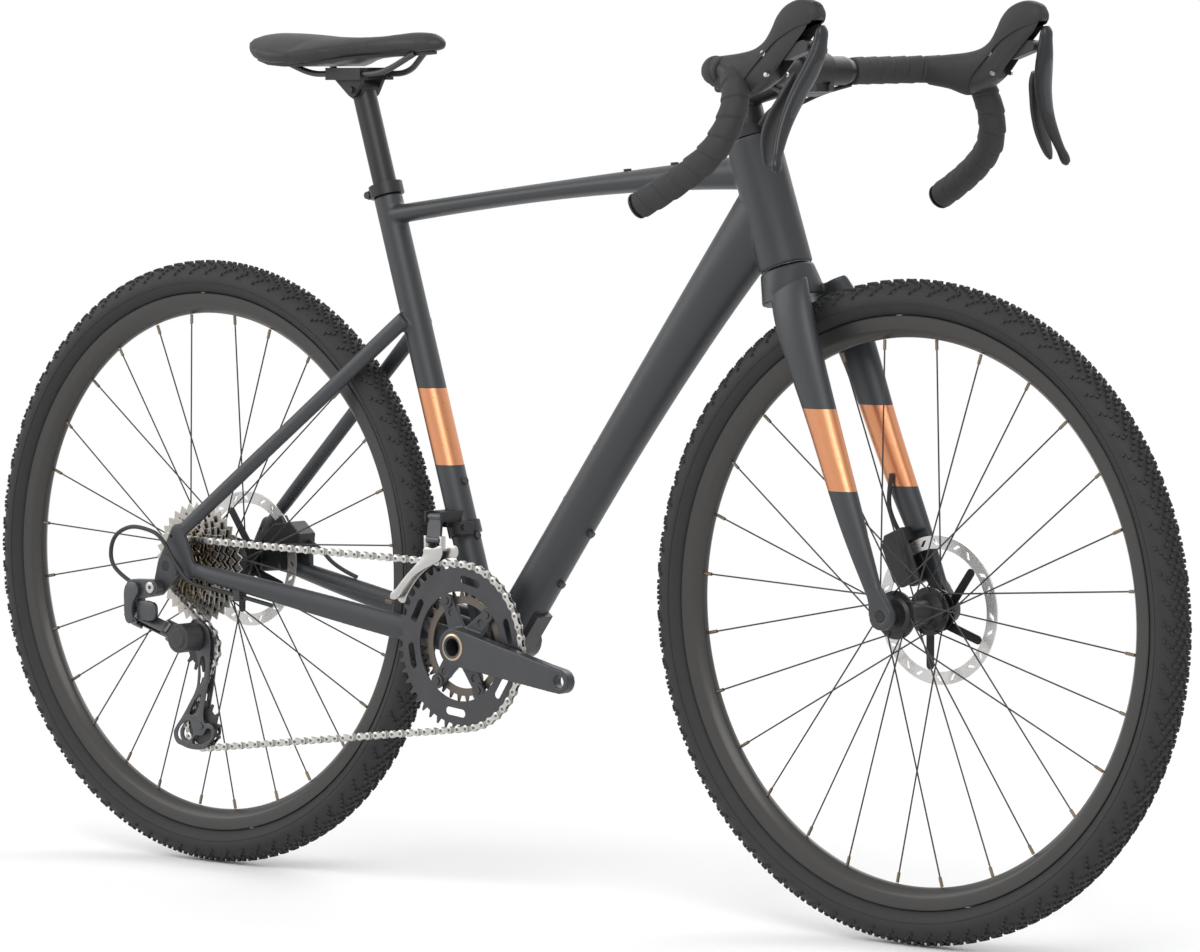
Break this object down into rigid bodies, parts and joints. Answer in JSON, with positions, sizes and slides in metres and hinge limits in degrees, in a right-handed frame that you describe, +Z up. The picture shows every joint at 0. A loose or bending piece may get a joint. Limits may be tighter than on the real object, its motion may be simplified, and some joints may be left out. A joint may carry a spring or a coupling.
{
  "type": "gravel_bicycle",
  "caption": "Drop-bar gravel bicycle with disc brakes, knobbly tyres, double chainring and derailleurs; wheels, cranks, steering, seat, levers and derailleurs move.",
  "frame": {"origin": "on the ground, half way between the wheel centres, in the middle plane", "axes": "+X forward, +Y to the rider's left, +Z up"},
  "size_m": [1.7659, 0.5382, 1.0078],
  "materials": {
    "frame_paint": "matte anthracite paint",
    "fork_paint": "matte anthracite paint with copper bands",
    "black_alloy": "black anodised",
    "grey_alloy": "dark grey anodised",
    "silver_alloy": "bright, lightly brushed",
    "steel": "plated steel",
    "black_steel": "blackened steel",
    "tyre_rubber": "matte tread rubber",
    "grip_rubber": "matte rubber",
    "black_plastic": "satin moulded",
    "hose_black": "satin sleeve",
    "saddle_skin": "smooth synthetic cover"
  },
  "bodies": {
    "frame": {"frame": "frame_paint", "derailleur_hanger": "grey_alloy", "seat_collar": "black_alloy", "frame_fittings": "black_steel", "headset_bearings": "steel", "bottom_bracket_cups": "black_alloy", "rear_axle": "black_alloy", "rear_caliper": "black_alloy", "front_derailleur_mount": "black_alloy", "frame_cables": "hose_black", "rear_derailleur_knuckle": "grey_alloy", "chain": "steel"},
    "crank": {"crank_right": "grey_alloy", "chainrings": "grey_alloy", "crank_left": "grey_alloy"},
    "cassette": {"cassette": "steel"},
    "rear_wheel": {"rear_tyre": "tyre_rubber", "rear_rim": "black_alloy", "rear_spokes": "black_steel", "rear_hub": "black_alloy", "rear_rotor": "steel"},
    "front_wheel": {"front_tyre": "tyre_rubber", "front_rim": "black_alloy", "front_spokes": "black_steel", "front_hub": "black_alloy", "front_rotor": "steel"},
    "steering": {"fork": "fork_paint", "headset_spacers": "black_alloy", "stem": "black_alloy", "stem_faceplate": "black_alloy", "stem_bolts": "black_steel", "handlebar": "black_alloy", "bar_tape": "grip_rubber", "lever_hoods": "grip_rubber", "front_axle": "black_alloy", "front_caliper": "black_alloy", "front_cables": "hose_black"},
    "seatpost": {"seatpost": "black_alloy"},
    "saddle_clamp": {"saddle_clamp": "black_alloy"},
    "saddle": {"saddle_cover": "saddle_skin", "saddle_base": "black_plastic", "saddle_rails": "black_steel"},
    "rd_outer_link": {"rear_derailleur_outer_link": "grey_alloy"},
    "rd_inner_link": {"rear_derailleur_inner_link": "black_alloy"},
    "rd_knuckle": {"rear_derailleur_p_knuckle": "black_plastic"},
    "rd_cage": {"rear_derailleur_cage": "black_alloy"},
    "guide_pulley": {"guide_pulley": "black_plastic"},
    "tension_pulley": {"tension_pulley": "black_plastic"},
    "fd_link": {"front_derailleur_link": "silver_alloy"},
    "fd_cage": {"front_derailleur_cage": "silver_alloy"},
    "rear_pad_inner": {"rear_pad_inner": "black_steel"},
    "rear_pad_outer": {"rear_pad_outer": "black_steel"},
    "front_pad_inner": {"front_pad_inner": "black_steel"},
    "front_pad_outer": {"front_pad_outer": "black_steel"},
    "carrier_right": {"lever_carrier_right": "black_plastic"},
    "lever_right": {"brake_lever_right": "grey_alloy"},
    "paddle_right": {"shift_paddle_right": "black_plastic"},
    "carrier_left": {"lever_carrier_left": "black_plastic"},
    "lever_left": {"brake_lever_left": "grey_alloy"},
    "paddle_left": {"shift_paddle_left": "black_plastic"}
  },
  "joints": [
    {"name": "crank_spin", "type": "hinge", "parent": "frame", "child": "crank", "pos_m": [-0.08653, 0, 0.286], "axis": [0, 1, 0], "continuous": true, "deforming": ["chain"]},
    {"name": "cassette_spin", "type": "hinge", "parent": "frame", "child": "cassette", "pos_m": [-0.527, 0, 0.356], "axis": [0, 1, 0], "continuous": true},
    {"name": "rear_wheel_spin", "type": "hinge", "parent": "frame", "child": "rear_wheel", "pos_m": [-0.527, 0, 0.356], "axis": [0, 1, 0], "continuous": true},
    {"name": "steering", "type": "hinge", "parent": "frame", "child": "steering", "pos_m": [0.35044, 0, 0.71826], "axis": [-0.3256, 0, 0.9455], "range_deg": [-60, 60]},
    {"name": "front_wheel_spin", "type": "hinge", "parent": "steering", "child": "front_wheel", "pos_m": [0.527, 0, 0.356], "axis": [0, 1, 0], "continuous": true},
    {"name": "seatpost_height", "type": "slide", "parent": "frame", "child": "seatpost", "axis": [-0.2957, 0, 0.9553], "range_m": [-0.06, 0.08]},
    {"name": "saddle_tilt", "type": "hinge", "parent": "seatpost", "child": "saddle_clamp", "pos_m": [-0.28022, 0, 0.91171], "axis": [0, 1, 0], "range_deg": [-8, 8]},
    {"name": "saddle_slide", "type": "slide", "parent": "saddle_clamp", "child": "saddle", "axis": [1, 0, 0], "range_m": [-0.01, 0.01]},
    {"name": "rd_swing", "type": "hinge", "parent": "frame", "child": "rd_outer_link", "pos_m": [-0.565, -0.0915, 0.298], "axis": [0.1875, 0.589, 0.7861], "range_deg": [-12, 58]},
    {"name": "rd_inner_swing", "type": "hinge", "parent": "frame", "child": "rd_inner_link", "pos_m": [-0.56963, -0.07873, 0.28954], "axis": [0.1875, 0.589, 0.7861], "range_deg": [-12, 58]},
    {"name": "rd_knuckle_swing", "type": "hinge", "parent": "rd_outer_link", "child": "rd_knuckle", "pos_m": [-0.521, -0.0855, 0.28301], "axis": [0.1875, 0.589, 0.7861], "range_deg": [-58, 12]},
    {"name": "rd_cage_swing", "type": "hinge", "parent": "rd_knuckle", "child": "rd_cage", "pos_m": [-0.498, -0.066, 0.273], "axis": [0, 1, 0], "range_deg": [-45, 35], "stiffness_Nm_per_rad": 0.4},
    {"name": "guide_spin", "type": "hinge", "parent": "rd_cage", "child": "guide_pulley", "pos_m": [-0.49398, -0.05632, 0.26116], "axis": [0, 1, 0], "continuous": true},
    {"name": "tension_spin", "type": "hinge", "parent": "rd_cage", "child": "tension_pulley", "pos_m": [-0.49202, -0.05632, 0.16817], "axis": [0, 1, 0], "continuous": true},
    {"name": "fd_swing", "type": "hinge", "parent": "frame", "child": "fd_link", "pos_m": [-0.13215, -0.041, 0.43], "axis": [1, 0, 0], "range_deg": [-2, 20]},
    {"name": "fd_cage_swing", "type": "hinge", "parent": "fd_link", "child": "fd_cage", "pos_m": [-0.13215, -0.044, 0.404], "axis": [1, 0, 0], "range_deg": [-20, 2]},
    {"name": "brake_right", "type": "hinge", "parent": "steering", "child": "carrier_right", "pos_m": [0.51301, -0.192, 0.94995], "axis": [0, 1, 0], "range_deg": [0, 18], "stiffness_Nm_per_rad": 1.5},
    {"name": "shift_right", "type": "hinge", "parent": "carrier_right", "child": "lever_right", "pos_m": [0.55101, -0.192, 0.95795], "axis": [1, 0, 0], "range_deg": [0, 20], "stiffness_Nm_per_rad": 0.6},
    {"name": "paddle_swing_right", "type": "hinge", "parent": "lever_right", "child": "paddle_right", "pos_m": [0.53101, -0.201, 0.92895], "axis": [1, 0, 0], "range_deg": [0, 30], "stiffness_Nm_per_rad": 0.3},
    {"name": "brake_left", "type": "hinge", "parent": "steering", "child": "carrier_left", "pos_m": [0.51301, 0.192, 0.94995], "axis": [0, 1, 0], "range_deg": [0, 18], "stiffness_Nm_per_rad": 1.5},
    {"name": "shift_left", "type": "hinge", "parent": "carrier_left", "child": "lever_left", "pos_m": [0.55101, 0.192, 0.95795], "axis": [-1, 0, 0], "range_deg": [0, 20], "stiffness_Nm_per_rad": 0.6},
    {"name": "paddle_swing_left", "type": "hinge", "parent": "lever_left", "child": "paddle_left", "pos_m": [0.53101, 0.201, 0.92895], "axis": [-1, 0, 0], "range_deg": [0, 30], "stiffness_Nm_per_rad": 0.3},
    {"name": "rear_pad_inner_slide", "type": "slide", "parent": "frame", "child": "rear_pad_inner", "axis": [0, 1, 0], "range_m": [0, 0.0004]},
    {"name": "rear_pad_outer_slide", "type": "slide", "parent": "frame", "child": "rear_pad_outer", "axis": [0, -1, 0], "range_m": [0, 0.0004]},
    {"name": "front_pad_inner_slide", "type": "slide", "parent": "steering", "child": "front_pad_inner", "axis": [0, 1, 0], "range_m": [0, 0.0004]},
    {"name": "front_pad_outer_slide", "type": "slide", "parent": "steering", "child": "front_pad_outer", "axis": [0, -1, 0], "range_m": [0, 0.0004]}
  ],
  "couplings": [
    {"joint": "cassette_spin", "follows": "crank_spin", "ratio": 3.0667},
    {"joint": "rd_inner_swing", "follows": "rd_swing", "ratio": 1},
    {"joint": "rd_knuckle_swing", "follows": "rd_swing", "ratio": -1},
    {"joint": "guide_spin", "follows": "crank_spin", "ratio": -3.5385},
    {"joint": "tension_spin", "follows": "crank_spin", "ratio": 3.5385},
    {"joint": "fd_cage_swing", "follows": "fd_swing", "ratio": -1},
    {"joint": "rear_pad_inner_slide", "follows": "brake_right", "m_per_rad": 0.001114},
    {"joint": "rear_pad_outer_slide", "follows": "brake_right", "m_per_rad": 0.001114},
    {"joint": "front_pad_inner_slide", "follows": "brake_left", "m_per_rad": 0.001114},
    {"joint": "front_pad_outer_slide", "follows": "brake_left", "m_per_rad": 0.001114}
  ]
}
